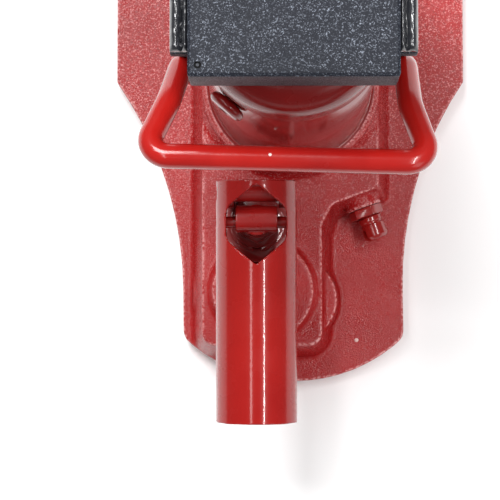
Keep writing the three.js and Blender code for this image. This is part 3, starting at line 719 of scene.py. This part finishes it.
def lumpy_bead(name, points, radius, node, seed):
    """A weld fillet along points in mm, swollen and pinched as it goes."""
    def waver(t):
        return 0.85 + 0.28 * noise.noise(Vector((t * 9, seed, 0))) + 0.1 * math.sin(t * 60)

    def ends(t):
        return waver(t) * min(1.0, (min(t, 1 - t) * 9 + 0.12)) ** 0.5

    piece(name, sweep(points, radius, 10, ends), node, 70)


def frame_plates():
    """The plates of the lifting frame, and the beads along the front plate and the toe."""
    for side in ("left", "right"):
        eased(f"side_plate_{side}", 0.9)
    eased("front_plate", 1.0)
    eased("toe", 0.7)
    eased("guide_saddle", 0.4, sharp=30)
    plate, toe_top = low_high("front_plate"), low_high("toe")[1].z
    for side, sign in (("left", -1), ("right", 1)):
        x = sign * (plate[1].x + 0.1)
        y = plate[1].y - 0.2
        run = [Vector((x, y, toe_top + 12 + k * 2.5)) for k in range(116)]
        lumpy_bead(f"front_corner_weld_{side}", run, 1.5, "front_plate", sign + 4)
    half = plate[1].x - 4
    run = [Vector((-half + k * (2 * half / 60), plate[1].y - 0.4, toe_top + 1.0))
           for k in range(61)]
    lumpy_bead("toe_root_weld", run, 1.6, "toe", 9)


def handle():
    """The bent rod: it leans to the left, and its bar is tilted back on the right."""
    low, high = low_high("carry_handle")
    rod, lean, tilt = HANDLE_ROD, -3.7, 2.0
    centre = (low.x + high.x) / 2 - lean
    rear = low.y + rod + tilt
    foot, top = low.z, high.z - rod

    def side(sign):
        shares = (0, 0, 0.6, 1)
        corners = [((60.1, -17, foot), 0), ((60.1, -17, top - 44), 16),
                   ((63.5, -41, top - 17), 24), ((75.4, rear, top), 10)]
        return [(Vector((centre + sign * p[0] + lean * s, p[1] - sign * tilt * s, p[2])), b)
                for (p, b), s in zip(corners, shares)]

    route = bent(side(-1) + side(1)[::-1], 14, 8)
    obj = piece("carry_handle_rod", sweep(route, rod, 32), "carry_handle", 50)
    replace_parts(obj, "carry_handle")
    # painted highlight: a pale nib on the bar stands for a spot of light
    nib = Vector((centre - 12.4, rear + 1.5, top + rod - 0.25))
    mesh = lathe([(0, 0.5), (0.5, 0.42), (1.0, 0), (0, -0.2)], False, 0.2, 16, onto(nib, UP))
    pale_dot = piece("handle_highlight_nib", mesh, "carry_handle", 80)
    pale_dot.data.materials[0] = MATERIALS["primer_and_highlight"]
    plate = low_high("side_plate_right")
    for name, sign in (("left", -1), ("right", 1)):
        x = sign * (plate[0].x + 3.2)
        for part, offset in (("inner", -1.4), ("outer", 8.4)):
            run = [Vector((x + sign * (offset - 1.8) * 0.55, -11.4, foot + 3 + k * 1.6))
                   for k in range(26)]
            lumpy_bead(f"handle_weld_{name}_{part}", run, 1.8, "carry_handle",
                       sign * 2 + offset)


# ---- return springs -----------------------------------------------------------------------
def coil(low, high, mean, wire, turns, per):
    """Points of a coil of wire that fills the height of a box, per points to a turn."""
    centre = (low + high) / 2
    bottom, top = low.z + wire, high.z - wire
    points = []
    for k in range(turns * per + 1):
        t = k / (turns * per)
        a = 2 * math.pi * t * turns
        points.append(Vector((centre.x + mean * math.cos(a), centre.y + mean * math.sin(a),
                              bottom + (top - bottom) * t)))
    return points


def spring(side):
    """A return spring and its anchors."""
    low, high = low_high(f"return_spring_{side}")
    outer, wire = (high.x - low.x) / 2, 0.95
    points = coil(low, high, outer - wire, wire, 78, 14)
    node = f"return_spring_{side}"
    obj = piece(f"{node}_coil", sweep(points, wire, 7), node, 70, rides=False)
    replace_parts(obj, node)
    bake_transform(obj)
    for name in (f"lower_spring_anchor_{side}", f"upper_spring_anchor_{side}"):
        eased(name, 0.4, sharp=30)


# ---- pump and lever socket ----------------------------------------------------------------
def socket_axis():
    """A point on the socket's middle line, in mm, and the line's direction."""
    front, rear = middle("fulcrum_pin"), middle("plunger_pin")
    return front, (front - rear).normalized()


def lever_socket():
    """The socket pipe: true rounds inside and out, with softly broken cut edges."""
    mesh = remeshed("lever_socket", 0.8, 4)
    at, axis = socket_axis()
    true_normals, near = {}, 0.3
    for vertex in mesh.vertices:
        point = vertex.co / MM - at
        along = point.dot(axis)
        spoke = point - axis * along
        for radius, way in ((SOCKET_OUTER, 1), (SOCKET_INNER, -1)):
            if abs(spoke.length - radius) < near:
                vertex.co = (at + axis * along + spoke.normalized() * radius) * MM
                true_normals[vertex.index] = spoke.normalized() * way
    obj = piece("lever_socket_pipe", mesh, "lever_socket", 80)
    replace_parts(obj, "lever_socket")
    obj.data.normals_split_custom_set_from_vertices(
        [true_normals.get(v.index, v.normal) for v in obj.data.vertices])


def pins():
    """The two pins, with chamfered ends."""
    for node, radius in (("fulcrum_pin", 4.75), ("plunger_pin", 3.5)):
        low, high = low_high(node)
        half = (high.x - low.x) / 2
        place = onto(middle(node), (1, 0, 0))
        flat, side = radius - PIN_CHAMFER, half - PIN_CHAMFER
        mesh = lathe([(0, -half), (flat, -half), (radius, -side), (radius, side),
                      (flat, half), (0, half)], False, 0.2, 48, place)
        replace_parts(piece(f"{node}_rod", mesh, node), node)


def plunger():
    """The plunger: a bare rod below, and a barrel above that has the jack's paint."""
    mesh = remeshed("pump_plunger", 0.6, 3)
    obj = piece("pump_plunger_head", mesh, "pump_plunger", 80)
    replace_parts(obj, "pump_plunger")
    obj.data.materials.append(MATERIALS["pin_paint"])
    painted_from = low_high("pump_plunger")[0].z + 57.6
    for polygon in obj.data.polygons:
        if polygon.center.z / MM > painted_from:
            polygon.material_index = 1


def pump():
    """The pump's collar, cylinder, nut and circlip, and the seals and the piston's nut."""
    eased("swivel_collar", 0.8, sharp=30)
    eased("pump_cylinder", 0.4, sharp=30)
    eased("pump_gland_nut", 0.5, sharp=30)
    eased("swivel_circlip", 0.2, sharp=30)
    eased("pump_seal", 0.3, sharp=30)
    eased("piston_seal", 0.3, sharp=30)
    eased("piston_nut", 0.6, sharp=30)


# ---- valves and plugs ---------------------------------------------------------------------
def release_valve():
    """Gland nut and slotted screw, turned and filed along the valve's own axis."""
    ball, screw = middle("release_ball"), middle("release_spindle")
    axis = Vector((screw.x - ball.x, screw.y - ball.y, 0)).normalized()
    head_end, slot_deep, half_slot = 24.0, 7, 2.2
    place = onto(ball + axis * 23.7, axis)
    body = lathe([(0, -19.4), (2.4, -19.4), (3.6, -17.4), (3.6, -15), (5.2, -15), (6, -14),
                  (6, 9.6), (7.2, 9.6), (7.6, 10.2), (7.6, 12.6), (7.0, 13.2), (7.0, 14.2),
                  (7.6, 14.8), (7.6, head_end - 2), (5.8, head_end), (0, head_end)], False,
                 0.3, 64, place)
    corners = [Vector((sx * 10, sy * half_slot, z))
               for z in (head_end - slot_deep, head_end + 1)
               for sx, sy in ((-1, -1), (1, -1), (1, 1), (-1, 1))]
    slot = mesh_of([place @ (v * MM) for v in corners],
                   [[3, 2, 1, 0], [4, 5, 6, 7], [0, 1, 5, 4], [1, 2, 6, 5], [2, 3, 7, 6],
                    [3, 0, 4, 7]])
    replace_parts(piece("release_spindle_screw", cut_away(body, slot), "release_spindle", 34),
                "release_spindle")
    eased("release_gland_nut", 0.7, sharp=30)
    eased("release_ball", 0.05, sharp=60)


def plugs():
    """The plugs of the base, and the check valve's ball and spring."""
    for node in ("relief_valve_plug", "gallery_plug", "check_valve_plug"):
        eased(node, 0.6, sharp=30)
    eased("check_valve_ball", 0.05, sharp=60)
    low, high = low_high("check_valve_spring")
    points = coil(low, high, 3.0, 0.6, 5, 16)
    mesh = sweep(points, 0.55, 8)
    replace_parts(piece("check_valve_coil", mesh, "check_valve_spring", 70),
                "check_valve_spring")


# ---- light, floor and camera --------------------------------------------------------------
def stage_set():
    """A pale floor, a hair below the jack."""
    s = Shader("floor_card", (0.96, 0.96, 0.96), 0.9)
    s.set("Normal", s.bump(s.noise(300, 2), 0.05, 0.0001))
    bm = bmesh.new()
    half, level = 3.0, -0.0003
    bm.faces.new([bm.verts.new((x, y, level)) for x, y in
                  ((-half, -half), (half, -half), (half, half), (-half, half))])
    mesh = bpy.data.meshes.new("floor")
    bm.to_mesh(mesh)
    bm.free()
    floor = bpy.data.objects.new("floor", mesh)
    mesh.materials.append(s.material)
    bpy.context.scene.collection.objects.link(floor)


def looking(at, aim):
    """The matrix of a lamp or camera at a place, aimed at a point, with its top to +Y."""
    look = (Vector(aim) - Vector(at)).normalized()
    right = look.cross(Vector((0, 1, 0))).normalized()
    up = right.cross(look)
    return Matrix.Translation(at) @ Matrix((right, up, -look)).transposed().to_4x4()


def lamp(name, at, aim, width, length, watts):
    data = bpy.data.lights.new(name, "AREA")
    data.shape = "RECTANGLE"
    data.size, data.size_y = width, length
    data.energy = watts
    obj = bpy.data.objects.new(name, data)
    bpy.context.scene.collection.objects.link(obj)
    obj.matrix_world = looking(at, aim)


def lights():
    """One large soft box, a low fill, and two strips that draw the lines on the pipe."""
    world = bpy.data.worlds.new("room")
    bpy.context.scene.world = world
    world.use_nodes = True
    background = world.node_tree.nodes["Background"]
    background.inputs["Color"].default_value = (1, 1, 1, 1)
    background.inputs["Strength"].default_value = 0.2
    lamp("soft_box", (-0.68, 1.02, 2.3), (0, -0.02, 0.1), 1.1, 1.1, 68)
    lamp("low_fill", (1.7, -1.7, 1.6), (0, 0, 0.1), 1.4, 1.4, 12)
    lamp("left_strip", (-0.52, 0.0, 2.0), (-0.05, -0.05, 0.1), 0.2, 1.7, 8)
    lamp("right_strip", (0.75, 0.0, 2.0), (0.0, -0.05, 0.1), 0.08, 1.7, 26)


def camera():
    """The view almost straight down, from above the rear of the jack."""
    picture, sensor = 500, 36
    focal = 2385.0                # in units where the picture is 500 wide
    across, along = 27.25, 150.0  # the point below the eye, from the picture's middle
    eye = Vector((-0.0083, -0.197, 1.531))
    aim = Vector((eye.x - across / focal * eye.z, eye.y + along / focal * eye.z, 0))
    data = bpy.data.cameras.new("view")
    data.sensor_width, data.lens = sensor, focal / picture * sensor
    obj = bpy.data.objects.new("view", data)
    bpy.context.scene.collection.objects.link(obj)
    obj.matrix_world = looking(eye, aim)
    bpy.context.scene.camera = obj


base_casting()
paint_spot()
tank()
cap()
filler()
turned_pieces()
head()
weld("left", -1)
weld("right", 1)
frame_plates()
handle()
spring("left")
spring("right")
lever_socket()
pins()
plunger()
pump()
release_valve()
plugs()
stage_set()
lights()
camera()
bpy.context.scene.view_settings.view_transform = "Standard"
